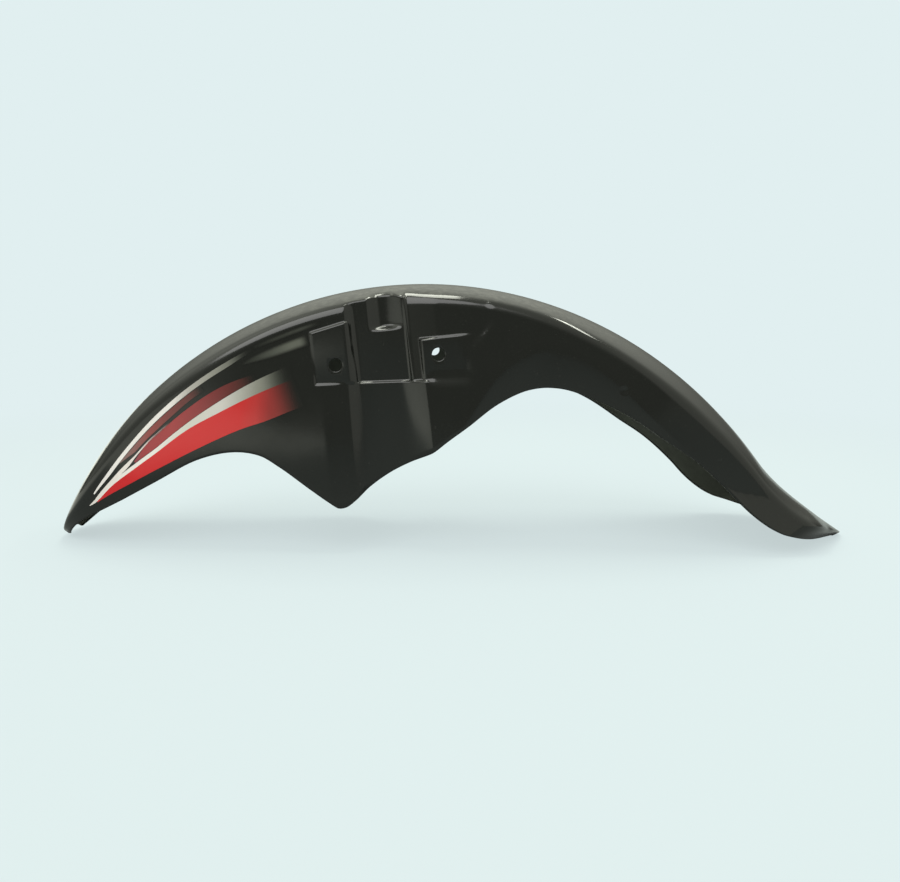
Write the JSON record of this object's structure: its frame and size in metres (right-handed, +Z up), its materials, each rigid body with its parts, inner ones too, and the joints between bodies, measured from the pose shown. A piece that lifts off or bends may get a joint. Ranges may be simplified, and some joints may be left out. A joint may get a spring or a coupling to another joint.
{
  "type": "motorcycle front mudguard",
  "caption": "Moulded front mudguard with a long arched blade, deep side skirts with bolted fork seats, and striped film trim on its nose.",
  "frame": {"origin": "middle of the mudguard's length and width, at the height of its lowest point", "axes": "+X from the nose to the tail, +Y across to the right side, +Z up with the fork"},
  "size_m": [0.6446, 0.1352, 0.2089],
  "materials": {
    "gloss_black": "moulded gloss black plastic",
    "red_film": "gloss red vinyl film",
    "silver_film": "silver vinyl film"
  },
  "bodies": {
    "root": {"mudguard_shell": "gloss_black", "red_stripe_left": "red_film", "red_stripe_right": "red_film", "thin_stripe_left": "red_film", "thin_stripe_right": "red_film", "silver_stripe_left": "silver_film", "silver_stripe_right": "silver_film", "upper_stripe_left": "silver_film", "upper_stripe_right": "silver_film"}
  },
  "joints": []
}
